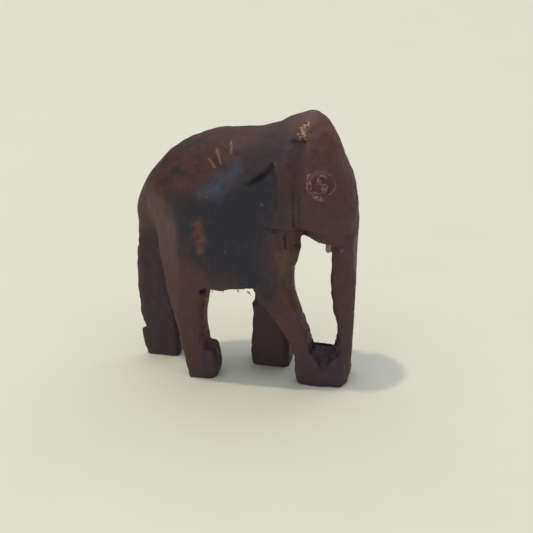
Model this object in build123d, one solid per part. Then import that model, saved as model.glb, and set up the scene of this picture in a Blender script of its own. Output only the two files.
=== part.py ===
from build123d import *
import os

# A small carved wooden elephant.  One block of hardwood makes the whole animal: body, head,
# ears, trunk and four legs.  Each eye is a ring and a bead set into the block, and each tusk is
# a peg broken off short.
# Frame: +X is the way the animal faces, +Y is its left, +Z is up, all in millimetres.  The soles
# stand on Z = 0, and the origin is under the middle of the overall box.

# ---- driving dimensions -------------------------------------------------------------------
CROWN_HEIGHT = 75.0          # sole to the top of the head
FLANK_HALF_WIDTH = 11.7      # half of the widest part of the barrel
BELLY_HEIGHT = 28.0          # ground to the underside of the barrel
LEG_GAP = 3.2                # saw gap between the right and the left legs
LEG_INNER = LEG_GAP / 2      # from the middle to the inner face of a leg
SOLE_HALF_WIDTH = 9.0        # from the middle to the outer face of a foot
EAR_PROUD = 0.9              # how far an ear stands out from the neck
TRUNK_HALF_WIDTH = 4.3       # half the trunk's width

EYE_RING_OUTER_D = 7.2       # the ring let in round the eye
EYE_RING_INNER_D = 5.4
EYE_BEAD_D = 3.4
EYE_DEPTH = 1.4              # how deep the eye pieces sit in the wood
EYE_PROUD = 0.15             # how far they stand out of it
EYE_X = 21.8                 # middle of an eye, along and up
EYE_Z = 58.4
EYE_Y = 9.3                  # and out from the middle of the head
TUSK_D = 2.0                 # the tusk pegs
GLUE_GAP = 0.03              # clearance round each inlaid piece


def upright(x):
    """Plane across the animal at x, drawn with Y to the right and Z up."""
    return Plane(origin=(x, 0, 0), x_dir=(0, 1, 0), z_dir=(1, 0, 0))


def side_plane(y):
    """Plane along the animal at y, drawn with X to the right and Z up, facing -Y."""
    return Plane(origin=(0, y, 0), x_dir=(1, 0, 0), z_dir=(0, -1, 0))


def side_prism(points, y_from, y_to):
    """Prism across the animal from an outline in X and Z."""
    face = make_face(Polyline(*points, close=True))
    return extrude(side_plane(y_to) * face, amount=y_to - y_from)


def arch_face(half_width, low, top, rise):
    """Section of the barrel: upright flanks under a rounded back."""
    spring = top - rise
    outline = Polyline((-half_width, spring), (-half_width, low), (half_width, low), (half_width, spring))
    outline += EllipticalCenterArc((0, spring), half_width, rise, start_angle=0, arc_size=90)
    outline += EllipticalCenterArc((0, spring), half_width, rise, start_angle=90, arc_size=90)
    return make_face(outline)


def barrel(stations, grow=0.0):
    """Loft of arch sections along X.  grow makes every section that much larger all round."""
    faces = [
        upright(x) * arch_face(half_width + grow, low - grow, top + grow, rise + grow)
        for x, half_width, low, top, rise in stations
    ]
    return loft(faces)


def post(stations, right, left):
    """Loft of rounded sections up Z.  A station is (z, rear x, front x, widening, corner radius)."""
    faces = []
    for z, rear, front, widening, corner in stations:
        outer_right = right - widening if right < -LEG_INNER else right
        outer_left = left + widening if left > LEG_INNER else left
        centre = Pos((rear + front) / 2, (outer_right + outer_left) / 2, z)
        faces.append(centre * RectangleRounded(front - rear, outer_left - outer_right, corner))
    return loft(faces)


def oval_stack(stations):
    """Loft of ovals up Z.  A station is (z, rear x, front x, half width)."""
    faces = [
        Pos((rear + front) / 2, 0, z) * Ellipse((front - rear) / 2, half_width)
        for z, rear, front, half_width in stations
    ]
    return loft(faces)


# (x, half width, underside, top, rise of the arch), from the rump to the neck
BARREL = (
    (-29.4, 6.0, 21.0, 43.6, 9.0),
    (-27.7, 8.6, 22.0, 50.2, 11.0),
    (-23.5, 10.6, 25.0, 57.4, 13.0),
    (-16.5, 11.5, BELLY_HEIGHT, 63.8, 14.0),
    (-8.0, FLANK_HALF_WIDTH, BELLY_HEIGHT, 67.8, 14.0),
    (1.0, FLANK_HALF_WIDTH, BELLY_HEIGHT, 69.0, 14.0),
    (8.0, 11.2, BELLY_HEIGHT, 70.8, 14.5),
    (15.0, 9.8, BELLY_HEIGHT, 73.0, 15.0),
)


def make_barrel():
    """Chest, belly, back and rump, with the throat cut back under the jaw."""
    throat = Plane.XY.offset(20.0) * make_face(
        Polyline((14.6, -13.0), (14.2, -3.0), (10.6, 4.0), (10.2, 13.0), (25.0, 13.0), (25.0, -13.0), close=True)
    )
    return barrel(BARREL) - extrude(throat, amount=24.5)


def make_head():
    """Head from the crown down to where the trunk leaves the jaw."""
    return oval_stack((
        (CROWN_HEIGHT, 16.4, 19.2, 1.6),
        (73.6, 13.2, 20.8, 4.2),
        (70.0, 8.0, 23.3, 7.2),
        (63.5, 6.0, 26.0, 9.6),
        (57.0, 6.0, 28.5, 10.4),
        (51.5, 6.5, 29.8, 10.4),
        (47.0, 8.5, 30.0, 9.4),
        (43.5, 13.0, 29.9, 7.4),
        (40.5, 19.0, 29.8, 5.4),
    ))


def make_trunk():
    """Trunk hanging straight down to the ground in front of the right fore foot."""
    return post((
        (0.0, 22.0, 28.2, 0.3, 1.2),
        (6.0, 22.4, 29.2, 0.5, 1.8),
        (12.0, 24.7, 29.6, 0.2, 1.8),
        (20.0, 24.8, 30.0, 0.0, 1.8),
        (30.0, 23.2, 30.0, 0.0, 1.8),
        (36.0, 23.6, 29.8, 0.3, 1.8),
        (43.0, 20.0, 29.8, 1.2, 2.8),
    ), -TRUNK_HALF_WIDTH, TRUNK_HALF_WIDTH)


def make_right_fore_leg():
    """Right fore leg, reaching forward to the foot that it shares with the trunk's tip."""
    return post((
        (0.0, 15.6, 24.0, -2.1, 1.6),
        (6.0, 14.7, 24.0, -1.4, 1.8),
        (12.0, 13.4, 19.9, -0.6, 2.0),
        (20.0, 9.0, 16.6, 0.8, 2.2),
        (27.0, 4.6, 14.6, 2.2, 2.4),
        (36.0, 0.0, 14.4, 2.6, 2.4),
        (45.4, -3.0, 15.0, 2.6, 2.4),
    ), -SOLE_HALF_WIDTH, -LEG_INNER)


def make_right_hind_leg():
    """Right hind leg, standing forward, with its toes as a low step."""
    leg = post((
        (0.0, -14.4, -8.0, -0.1, 1.6),
        (5.0, -15.4, -8.0, 0.1, 1.8),
        (10.0, -16.0, -9.0, 0.4, 2.0),
        (16.0, -17.1, -9.4, 1.0, 2.2),
        (24.0, -18.7, -8.6, 2.0, 2.4),
        (34.0, -21.0, -6.0, 2.4, 2.6),
        (44.0, -22.8, -5.0, 2.2, 2.6),
        (52.0, -22.0, -6.0, 1.0, 2.6),
    ), -SOLE_HALF_WIDTH, -LEG_INNER)
    toes = post((
        (0.0, -12.0, -6.4, -0.6, 1.6),
        (4.0, -12.0, -5.8, -0.3, 1.8),
        (8.6, -12.0, -6.6, -0.3, 1.8),
    ), -SOLE_HALF_WIDTH, -LEG_INNER)
    return leg + toes


def make_left_hind_leg():
    """Left hind leg, standing back under the rump, with a notch over its heel."""
    leg = post((
        (0.0, -28.6, -19.4, 0.0, 1.8),
        (5.0, -30.2, -19.0, 0.3, 2.0),
        (12.0, -30.6, -19.4, 0.5, 2.2),
        (24.0, -31.0, -19.0, 1.2, 2.4),
        (34.0, -30.7, -17.0, 1.4, 3.4),
        (42.0, -29.6, -16.0, 0.6, 3.8),
        (50.0, -25.8, -15.0, -0.6, 3.2),
    ), LEG_INNER, SOLE_HALF_WIDTH)
    notch = side_prism(((-32.0, 14.0), (-30.2, 12.5), (-28.4, 8.4), (-32.0, 6.4)), 0.0, FLANK_HALF_WIDTH + 1)
    return leg - notch


def make_left_fore_leg():
    """Left fore leg, standing back under the chest."""
    return post((
        (0.0, 1.4, 11.6, 0.0, 1.8),
        (6.0, 0.8, 11.6, 0.3, 2.0),
        (14.0, 1.2, 11.4, 0.6, 2.2),
        (24.0, -0.2, 11.2, 1.2, 2.4),
        (36.0, -2.0, 10.8, 2.0, 2.6),
    ), LEG_INNER, SOLE_HALF_WIDTH)


def rump_cut():
    """Waste cut from behind the right hind leg: a slanting cut forward and down."""
    behind_leg = side_prism(
        ((-40.0, 56.0), (-24.8, 54.0), (-20.8, 34.0), (-16.4, 14.0), (-13.4, -1.0), (-40.0, -1.0)),
        -15.0, 15.0,
    )
    beside_tail = make_face(Polyline((-15.0, 60.0), (-8.0, 54.0), (0.5, 36.0), (LEG_INNER, 20.0),
                                     (LEG_INNER, -1.0), (-15.0, -1.0), close=True))
    return behind_leg & extrude(upright(-40.0) * beside_tail, amount=30.0)


def make_ears():
    """Both ears: flat flaps that lie back along the neck, square at the bottom."""
    outline = ((6.6, 45.0), (15.8, 45.4), (16.6, 60.0), (17.4, 71.5), (13.0, 70.0), (9.4, 62.0))
    flaps = side_prism(outline, -15.0, 15.0)
    return flaps & barrel(BARREL, grow=EAR_PROUD)


def make_foot_web():
    """Web of wood that joins the right fore foot and the trunk's tip."""
    return post((
        (0.0, 18.0, 27.6, -2.6, 1.6),
        (5.0, 18.0, 28.2, -2.2, 1.8),
        (9.6, 18.0, 27.0, -2.8, 1.8),
    ), -SOLE_HALF_WIDTH, 1.0)


def foot_recess():
    """V-shaped hollow in the side of the shared foot, deep at the top and running out below."""
    outline = side_prism(((19.6, 13.0), (22.6, 3.0), (25.2, 13.0)), -12.0, 0.0)
    floor = make_face(Polyline((-12.0, 14.0), (-4.2, 14.0), (-5.0, 8.0), (-7.4, 3.0), (-12.0, 3.0), close=True))
    return outline & extrude(upright(18.0) * floor, amount=9.0)


def shoulder_chamfer():
    """Waste cut off the front outer corner of the right fore leg, fading out down the leg."""
    corners = ((45.6, 12.2, 16.2), (41.0, 11.2, 15.6), (36.0, 9.6, 14.7), (31.0, 10.0, 14.9), (26.0, 12.8, 15.8), (13.0, 19.6, 20.6))
    faces = []
    for z, arris, front in corners:
        corner = make_face(Polyline((arris, -12.6), (front, -5.0), (front + 8.0, -12.6), close=True))
        faces.append(Pos(0, 0, z) * corner)
    return loft(faces, ruled=True)


def eye_plane(side):
    """Plane of an eye, facing out of the head.  side is -1 on the right and +1 on the left."""
    return Plane(origin=(EYE_X, side * EYE_Y, EYE_Z), z_dir=(0.41, side * 0.9, 0.12))


def eye_solid(side, outer_d, inner_d, gap):
    """Round eye piece, or the socket for it when gap is above zero."""
    disc = Circle(outer_d / 2 + gap)
    if inner_d:
        disc -= Circle(inner_d / 2 - gap)
    start = eye_plane(side).offset(-EYE_DEPTH - gap)
    reach = EYE_DEPTH + gap + (2.0 if gap else EYE_PROUD)
    return extrude(start * disc, amount=reach)


def tusk_peg(side, gap):
    """Broken tusk: a peg let into the jaw.  The right one is snapped off flush, the left one hangs."""
    if side < 0:
        root = Plane(origin=(25.6, -2.4, 42.0), z_dir=(0.2, -0.8, -0.6))
        length = 4.0
    else:
        root = Plane(origin=(24.4, 3.2, 43.0), z_dir=(-0.16, 0.24, -1.0))
        length = 9.0
    return extrude(root.offset(-gap) * Circle(TUSK_D / 2 + gap), amount=length + 2 * gap)


def main():
    """Build every piece and write one STEP file for each."""
    body = make_barrel() + make_head() + make_ears() + make_trunk()
    body += make_right_hind_leg() + make_left_hind_leg()
    body += make_right_fore_leg() + make_left_fore_leg() + make_foot_web()
    body = body - rump_cut() - foot_recess() - shoulder_chamfer()
    pieces = {}
    for side, name in ((-1, "right"), (1, "left")):
        for piece, outer_d, inner_d in (
            ("ring", EYE_RING_OUTER_D, EYE_RING_INNER_D),
            ("bead", EYE_BEAD_D, 0.0),
        ):
            pieces[f"{name}_eye_{piece}"] = eye_solid(side, outer_d, inner_d, 0.0)
            body -= eye_solid(side, outer_d, inner_d, GLUE_GAP)
        pieces[f"{name}_tusk_stub"] = tusk_peg(side, 0.0)
        body -= tusk_peg(side, GLUE_GAP)
    pieces["carved_body"] = body

    box = body.bounding_box()
    to_centre = Pos(-(box.min.X + box.max.X) / 2, -(box.min.Y + box.max.Y) / 2, -box.min.Z)
    os.makedirs("parts", exist_ok=True)
    for name, piece in pieces.items():
        export_step(to_centre * piece, f"parts/{name}.step")
    print("size", box.size, "centre", box.center())


main()
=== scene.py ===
import logging
import math
from dataclasses import dataclass
from enum import Enum
from typing import Any, Iterable, Sequence

import bmesh
import bpy
import numpy as np
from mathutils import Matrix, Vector
from mathutils.bvhtree import BVHTree
from mathutils.kdtree import KDTree


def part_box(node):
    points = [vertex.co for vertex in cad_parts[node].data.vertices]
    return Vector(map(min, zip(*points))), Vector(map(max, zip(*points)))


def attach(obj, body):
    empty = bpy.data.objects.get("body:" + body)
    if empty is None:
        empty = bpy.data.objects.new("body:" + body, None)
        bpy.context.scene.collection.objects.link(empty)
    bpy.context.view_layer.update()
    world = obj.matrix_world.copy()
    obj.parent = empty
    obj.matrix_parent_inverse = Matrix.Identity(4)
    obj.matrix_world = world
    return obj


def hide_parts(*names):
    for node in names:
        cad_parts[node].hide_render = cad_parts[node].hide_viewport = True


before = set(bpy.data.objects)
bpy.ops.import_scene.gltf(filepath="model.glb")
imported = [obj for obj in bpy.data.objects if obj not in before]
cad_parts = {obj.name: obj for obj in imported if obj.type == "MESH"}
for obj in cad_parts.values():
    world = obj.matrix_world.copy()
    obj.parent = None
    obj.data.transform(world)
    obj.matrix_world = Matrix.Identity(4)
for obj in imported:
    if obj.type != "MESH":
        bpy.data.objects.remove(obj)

LOG = logging.getLogger("carved_elephant")
MM = 0.001                      # one millimetre in scene units
BODY = "root"                   # the one rigid body that every piece rides on
Row = tuple[float, float, float]
Outline = tuple[tuple[float, float], ...]


class Side(Enum):
    """The animal's two sides, each with the sign of its Y."""

    RIGHT = -1
    LEFT = 1

    @property
    def word(self) -> str:
        """The side's name as the CAD nodes spell it."""
        return self.name.lower()


# ---- small helpers -------------------------------------------------------------------------


def linear(hex_colour: str) -> tuple[float, float, float, float]:
    """Turn an sRGB hex colour into the linear RGBA that a shader takes.

    Args:
        hex_colour: Six hex digits, such as "48342F".

    Returns:
        Linear red, green, blue and an alpha of 1.
    """
    values = [int(hex_colour[i:i + 2], 16) / 255 for i in (0, 2, 4)]
    out = [v / 12.92 if v <= 0.04045 else ((v + 0.055) / 1.055) ** 2.4 for v in values]
    return (out[0], out[1], out[2], 1.0)


def smooth_step(low: float, high: float, values: np.ndarray) -> np.ndarray:
    """Blend from 0 at low to 1 at high with a soft start and end."""
    t = np.clip((values - low) / (high - low), 0.0, 1.0)
    return t * t * (3.0 - 2.0 * t)


def within(values: np.ndarray, low: float, high: float, fade: float) -> np.ndarray:
    """Weight that is 1 between low and high and fades to 0 over fade outside them."""
    return smooth_step(low - fade, low, values) * (1.0 - smooth_step(high, high + fade, values))


def wave_noise(points: np.ndarray, wavelength: float, seed: int) -> np.ndarray:
    """Smooth random field with a spread of about 1, the same on every run.

    Args:
        points: Positions in millimetres, one per row.
        wavelength: Typical distance between two crests.
        seed: Number that picks the pattern.

    Returns:
        One value per point.
    """
    draw = np.random.default_rng(seed)
    total = np.zeros(len(points))
    waves = 22
    for _ in range(waves):
        direction = draw.normal(size=3)
        direction /= np.linalg.norm(direction)
        step = wavelength * draw.uniform(0.7, 1.5)
        total += np.sin(points @ direction * (2 * math.pi / step) + draw.uniform(0, 2 * math.pi))
    return total * math.sqrt(2.0 / waves)


def path_distance(points: np.ndarray, path: Sequence[Sequence[float]]) -> tuple[np.ndarray, np.ndarray]:
    """Distance from each point to a chain of straight runs.

    Args:
        points: Positions, one per row.
        path: Corners of the chain.

    Returns:
        The distance, and how far along the chain the nearest spot is, from 0 to 1.
    """
    corners = np.asarray(path, float)
    best = np.full(len(points), 1e9)
    along = np.zeros(len(points))
    runs = len(corners) - 1
    for i in range(runs):
        a, b = corners[i], corners[i + 1]
        run = b - a
        t = np.clip((points - a) @ run / (run @ run), 0.0, 1.0)
        gap = np.linalg.norm(points - a - t[:, None] * run, axis=1)
        closer = gap < best
        best[closer] = gap[closer]
        along[closer] = (i + t[closer]) / runs
    return best, along


def inside_outline(across: np.ndarray, up: np.ndarray, outline: Sequence[Sequence[float]]) -> np.ndarray:
    """How far each spot lies inside a closed outline.

    Args:
        across: First coordinate of each spot, in millimetres.
        up: Second coordinate of each spot.
        outline: Corners of the outline in order.

    Returns:
        Distance to the outline in millimetres, above 0 inside and below 0 outside.
    """
    corners = np.asarray(outline, float)
    nearest = np.full(len(across), 1e9)
    odd = np.zeros(len(across), bool)
    for a, b in zip(corners, np.roll(corners, -1, axis=0)):
        run = b - a
        t = np.clip(((across - a[0]) * run[0] + (up - a[1]) * run[1]) / (run @ run), 0.0, 1.0)
        nearest = np.minimum(nearest, np.hypot(across - a[0] - t * run[0], up - a[1] - t * run[1]))
        straddles = (up < a[1]) != (up < b[1])
        rise = b[1] - a[1] if abs(b[1] - a[1]) > 1e-9 else 1e-9
        odd ^= straddles & (across < a[0] + (up - a[1]) * run[0] / rise)
    return np.where(odd, nearest, -nearest)


def add_node(tree: Any, kind: str, settings: dict[str, Any] | None = None,
             links: dict[Any, Any] | None = None) -> Any:
    """Add one shader node with its settings and the links into it.

    Args:
        tree: Node tree that takes the node.
        kind: Blender's name for the node type.
        settings: Attribute names, or input names or numbers, with their values.
        links: Input names or numbers with the output socket that feeds each.

    Returns:
        The new node.
    """
    node = tree.nodes.new(kind)
    for name, value in (settings or {}).items():
        if isinstance(name, str) and hasattr(node, name):
            setattr(node, name, value)
        else:
            node.inputs[name].default_value = value
    for name, source in (links or {}).items():
        tree.links.new(source, node.inputs[name])
    return node


def new_material(name: str, preview: str) -> tuple[Any, Any, Any]:
    """Start a node material.

    Args:
        name: The material's name.
        preview: Hex colour for the solid view.

    Returns:
        The material, its node tree and its Principled shader.
    """
    material = bpy.data.materials.new(name)
    material.use_nodes = True
    material.diffuse_color = linear(preview)
    tree = material.node_tree
    return material, tree, tree.nodes["Principled BSDF"]


def dress(piece: Any, material: Any) -> None:
    """Give a piece one material in place of any it has."""
    piece.data.materials.clear()
    piece.data.materials.append(material)


def new_piece(name: str, verts: Iterable[Sequence[float]], faces: Iterable[Sequence[int]]) -> Any:
    """Make a smooth-shaded mesh object.

    Args:
        name: The object's name.
        verts: Its points, in metres.
        faces: The numbers of the points round each face.

    Returns:
        The new object.
    """
    mesh = bpy.data.meshes.new(name)
    mesh.from_pydata([tuple(v) for v in verts], [], [tuple(f) for f in faces])
    mesh.update()
    mesh.polygons.foreach_set("use_smooth", [True] * len(mesh.polygons))
    piece = bpy.data.objects.new(name, mesh)
    bpy.context.scene.collection.objects.link(piece)
    return piece


def place(piece: Any, node_names: Sequence[str]) -> None:
    """Tie a finished piece to the body.

    Args:
        piece: The piece.
        node_names: CAD nodes that it stands for, if any.
    """
    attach(piece, BODY)
    if node_names:
        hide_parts(*node_names)
    LOG.info("%s: %d vertices, stands for %s", piece.name, len(piece.data.vertices), list(node_names))


# ---- finishes ------------------------------------------------------------------------------


class Mark(Enum):
    """The weights that are carved into the wood for its finish and for its painted light and shade."""

    EBONY_AND_SHADE = "ebony_and_shade"          # stain thick and nearly black, also painted shade in the crease, on the neck and in the temple
    PATCH = "patch"          # stain rubbed through to orange wood
    RUSSET = "russet"        # stain worn to red brown
    BLOOM = "bloom"          # bluish painted reflection
    BARE = "bare"            # raw wood
    GRIME_AND_SHADE = "grime_and_shade"      # grime in hollows, and painted shade in creases and on the back's upward faces
    PAINTED_SHADE = "painted_shade"            # dull purple brown, mostly painted shade on rear, far and recessed faces
    RUBBED_AND_PAINTED_LIGHT = "rubbed_and_painted_light"        # lightened by handling, and painted light on the chest facet, shins and head
    POLISH = "polish"        # greyed by handling, and a painted sheen on the thigh and chest facets


@dataclass(frozen=True)
class Coat:
    """One layer of stain, wear, painted light, painted shade or painted reflection, laid where its mark was
    carved into the wood.
    """

    mark: Mark
    deep: str                        # colour in the pattern's hollows
    top: str                         # colour on its crests
    pattern: Any                     # socket that picks between the two
    breaker: Any                     # socket of the noise that breaks the border into flecks
    bite: float                      # how far the border breaks up

    def over(self, tree: Any, under: Any) -> Any:
        """Lay the coat over a colour.

        Args:
            tree: The material's node tree.
            under: Socket with the colour beneath.

        Returns:
            Socket with the colour of both.
        """
        carved = add_node(tree, "ShaderNodeAttribute", {"attribute_name": self.mark.value}).outputs["Fac"]
        rest = add_node(tree, "ShaderNodeMath", {"operation": "SUBTRACT", 0: 1.0}, {1: carved})
        border = add_node(tree, "ShaderNodeMath", {"operation": "MULTIPLY"}, {0: carved, 1: rest.outputs[0]})
        reach = add_node(tree, "ShaderNodeMath", {"operation": "MULTIPLY", 1: 4 * self.bite},
                         {0: border.outputs[0]})
        centred = add_node(tree, "ShaderNodeMath", {"operation": "SUBTRACT", 1: 0.5}, {0: self.breaker})
        weight = add_node(tree, "ShaderNodeMath", {"operation": "MULTIPLY_ADD", "use_clamp": True},
                          {0: centred.outputs[0], 1: reach.outputs[0], 2: carved})
        tones = add_node(tree, "ShaderNodeMix",
                         {"data_type": "RGBA", 6: linear(self.deep), 7: linear(self.top)},
                         {0: self.pattern})
        both = add_node(tree, "ShaderNodeMix", {"data_type": "RGBA"},
                        {0: weight.outputs[0], 6: under, 7: tones.outputs[2]})
        return both.outputs[2]


@dataclass(frozen=True)
class StainedHardwood:
    """Rosewood-like hardwood, knife-cut, dark-stained and rubbed with wax.

    The stain is nearly black on the flanks and worn to red brown on the back, so the eye reads
    three woods in one.  Painted shade, painted light and a bluish painted reflection lie over
    the stain.  Long fine pores run up and down the animal.
    """

    brown: str = "5B3C3B"
    brown_deep: str = "3E2A2D"
    # black stain, also used as painted shade
    ebony_and_shade: str = "262530"
    russet: str = "59332A"
    russet_deep: str = "2F2028"
    patch: str = "8A5043"
    patch_deep: str = "4A302E"
    bare: str = "D6BC88"
    bare_deep: str = "A07F4C"
    # bluish painted reflection on the shoulder
    bloom: str = "455166"
    painted_reflection_deep: str = "363F50"
    shade: str = "9298A6"            # grime and painted shade, which darken what they lie on
    # purple brown used as painted shade
    painted_shade: str = "412D36"
    # painted light, and the lightening of handling
    rubbed_and_painted_light: str = "6E4B42"
    # grey of handling, also used as a painted sheen
    polish: str = "594B43"
    grain_width_mm: float = 0.35
    grain_length_mm: float = 5.0
    pore_width_mm: float = 0.16      # drawn twice as coarse as real pores so that they show
    pore_slender: float = 9.0        # a pore's length over its width
    blotch_mm: float = 3.2
    relief_mm: float = 0.06
    roughness: float = 0.58
    grime_and_shade_dulls: float = 0.4
    bare_shines: float = -0.28
    ior: float = 1.44

    def material(self) -> Any:
        """Build the node material.

        Returns:
            The material.
        """
        material, tree, shader = new_material("stained_hardwood", self.brown)
        coords = add_node(tree, "ShaderNodeTexCoord")
        in_mm = add_node(tree, "ShaderNodeVectorMath", {"operation": "SCALE", "Scale": 1 / MM},
                         {0: coords.outputs["Object"]}).outputs[0]
        grain_across = 1 / self.grain_width_mm
        along_grain = add_node(tree, "ShaderNodeMapping",
                               {"Scale": (grain_across, grain_across, 1 / self.grain_length_mm)},
                               {"Vector": in_mm})
        fleck = add_node(tree, "ShaderNodeTexNoise", {"Scale": 1.0, "Detail": 4.0, "Roughness": 0.6},
                         {"Vector": along_grain.outputs[0]}).outputs["Fac"]
        blur = add_node(tree, "ShaderNodeTexNoise",
                        {"Scale": 1 / self.blotch_mm, "Detail": 6.0, "Roughness": 0.62, "Distortion": 0.4},
                        {"Vector": in_mm}).outputs["Fac"]
        pore_across = 1 / self.pore_width_mm
        pore_up = pore_across / self.pore_slender
        pores_at = add_node(tree, "ShaderNodeMapping", {"Scale": (pore_across, pore_across, pore_up)},
                            {"Vector": in_mm})
        pores = add_node(tree, "ShaderNodeTexNoise", {"Scale": 0.5, "Detail": 2.0},
                         {"Vector": pores_at.outputs[0]})
        open_pores = add_node(tree, "ShaderNodeMapRange", {"From Min": 0.60, "From Max": 0.70},
                              {"Value": pores.outputs["Fac"]})
        mottle = add_node(tree, "ShaderNodeMapRange", {"From Min": 0.34, "From Max": 0.66},
                          {"Value": blur}).outputs[0]
        streak = add_node(tree, "ShaderNodeMapRange", {"From Min": 0.30, "From Max": 0.70},
                          {"Value": fleck}).outputs[0]
        half = add_node(tree, "ShaderNodeMath", {"operation": "MULTIPLY", 1: 0.5}, {0: mottle})
        tone = add_node(tree, "ShaderNodeMath", {"operation": "MULTIPLY_ADD", 1: 0.5},
                        {0: streak, 2: half.outputs[0]})
        wood = add_node(tree, "ShaderNodeMix",
                        {"data_type": "RGBA", 6: linear(self.brown_deep), 7: linear(self.brown)},
                        {0: tone.outputs[0]}).outputs[2]
        # Besides stain and wear, these coats lay painted light, a painted sheen, painted shade and a bluish
        # painted reflection.
        for coat in (
            Coat(Mark.RUBBED_AND_PAINTED_LIGHT, self.brown, self.rubbed_and_painted_light, streak, blur, 0.8),
            Coat(Mark.POLISH, self.brown, self.polish, streak, fleck, 0.3),
            Coat(Mark.PAINTED_SHADE, self.painted_shade, self.painted_shade, mottle, blur, 1.0),
            Coat(Mark.RUSSET, self.russet_deep, self.russet, mottle, blur, 1.4),
            Coat(Mark.EBONY_AND_SHADE, self.ebony_and_shade, self.ebony_and_shade, mottle, blur, 1.0),
            Coat(Mark.BLOOM, self.painted_reflection_deep, self.bloom, streak, fleck, 1.1),
            Coat(Mark.PATCH, self.patch_deep, self.patch, mottle, blur, 1.4),
            Coat(Mark.BARE, self.bare_deep, self.bare, streak, fleck, 0.0),
        ):
            wood = coat.over(tree, wood)
        # Grime in the hollows and painted shade in the crease, the notch and on the back's upward faces,
        # multiplied over the wood.
        grime = add_node(tree, "ShaderNodeAttribute", {"attribute_name": Mark.GRIME_AND_SHADE.value}).outputs["Fac"]
        raw = add_node(tree, "ShaderNodeAttribute", {"attribute_name": Mark.BARE.value}).outputs["Fac"]
        shaded = add_node(tree, "ShaderNodeMix",
                          {"data_type": "RGBA", "blend_type": "MULTIPLY", 0: 1.0, 7: linear(self.shade)},
                          {6: wood})
        grimed_and_shaded = add_node(tree, "ShaderNodeMix", {"data_type": "RGBA"},
                         {0: grime, 6: wood, 7: shaded.outputs[2]})
        tree.links.new(grimed_and_shaded.outputs[2], shader.inputs["Base Color"])

        gloss = add_node(tree, "ShaderNodeMapRange",
                         {"From Min": 0.3, "From Max": 0.7, "To Min": self.roughness - 0.08,
                          "To Max": self.roughness + 0.12}, {"Value": blur})
        dull = add_node(tree, "ShaderNodeMath", {"operation": "MULTIPLY_ADD", 1: self.grime_and_shade_dulls},
                        {0: grime, 2: gloss.outputs[0]})
        slick = add_node(tree, "ShaderNodeMath",
                         {"operation": "MULTIPLY_ADD", 1: self.bare_shines, "use_clamp": True},
                         {0: raw, 2: dull.outputs[0]})
        tree.links.new(slick.outputs[0], shader.inputs["Roughness"])
        shader.inputs["IOR"].default_value = self.ior

        relief = add_node(tree, "ShaderNodeMath", {"operation": "SUBTRACT"},
                          {0: fleck, 1: open_pores.outputs[0]})
        bump = add_node(tree, "ShaderNodeBump", {"Strength": 0.35, "Distance": self.relief_mm * MM},
                        {"Height": relief.outputs[0]})
        tree.links.new(bump.outputs[0], shader.inputs["Normal"])
        return material


@dataclass(frozen=True)
class WornLac:
    """Shellac-like pink lac pressed into a punched ring and rubbed by handling.

    The eye gets a chalky pink with darker grime in the hollows and a dull gloss on the high spots.
    """

    pink: str = "714449"
    pale: str = "96686C"
    grime: str = "44292C"
    speck_mm: float = 0.5
    relief_mm: float = 0.05
    roughness: float = 0.5
    ior: float = 1.52

    def material(self) -> Any:
        """Build the node material.

        Returns:
            The material.
        """
        material, tree, shader = new_material("worn_pink_lac", self.pink)
        coords = add_node(tree, "ShaderNodeTexCoord")
        specks = add_node(tree, "ShaderNodeTexNoise", {"Scale": 1 / (self.speck_mm * MM), "Detail": 3.0},
                          {"Vector": coords.outputs["Object"]})
        ramp = add_node(tree, "ShaderNodeValToRGB", {}, {"Fac": specks.outputs["Fac"]})
        ramp.color_ramp.elements[0].position = 0.30
        ramp.color_ramp.elements[0].color = linear(self.grime)
        ramp.color_ramp.elements[1].position = 0.68
        ramp.color_ramp.elements[1].color = linear(self.pale)
        middle = ramp.color_ramp.elements.new(0.48)
        middle.color = linear(self.pink)
        tree.links.new(ramp.outputs["Color"], shader.inputs["Base Color"])
        shader.inputs["Roughness"].default_value = self.roughness
        shader.inputs["IOR"].default_value = self.ior
        bump = add_node(tree, "ShaderNodeBump", {"Strength": 0.4, "Distance": self.relief_mm * MM},
                        {"Height": specks.outputs["Fac"]})
        tree.links.new(bump.outputs[0], shader.inputs["Normal"])
        return material


@dataclass(frozen=True)
class BrokenBone:
    """Bone peg snapped off: cream, fibrous at the break and yellowed where it meets the wood."""

    name: str = "broken_bone"
    cream: str = "D6CCB2"
    yellowed: str = "8B7C52"
    fibre_mm: float = 0.25
    relief_mm: float = 0.08
    roughness: float = 0.55
    ior: float = 1.56
    glow: float = 0.05               # share of the light that spreads under the surface

    def material(self) -> Any:
        """Build the node material.

        Returns:
            The material.
        """
        material, tree, shader = new_material(self.name, self.cream)
        coords = add_node(tree, "ShaderNodeTexCoord")
        fibre = add_node(tree, "ShaderNodeTexNoise", {"Scale": 1 / (self.fibre_mm * MM), "Detail": 3.0},
                         {"Vector": coords.outputs["Object"]})
        tone = add_node(tree, "ShaderNodeMix",
                        {"data_type": "RGBA", 6: linear(self.yellowed), 7: linear(self.cream)},
                        {0: fibre.outputs["Fac"]})
        tree.links.new(tone.outputs[2], shader.inputs["Base Color"])
        shader.inputs["Roughness"].default_value = self.roughness
        shader.inputs["IOR"].default_value = self.ior
        shader.inputs["Subsurface Weight"].default_value = self.glow
        bump = add_node(tree, "ShaderNodeBump", {"Strength": 0.5, "Distance": self.relief_mm * MM},
                        {"Height": fibre.outputs["Fac"]})
        tree.links.new(bump.outputs[0], shader.inputs["Normal"])
        return material


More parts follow.
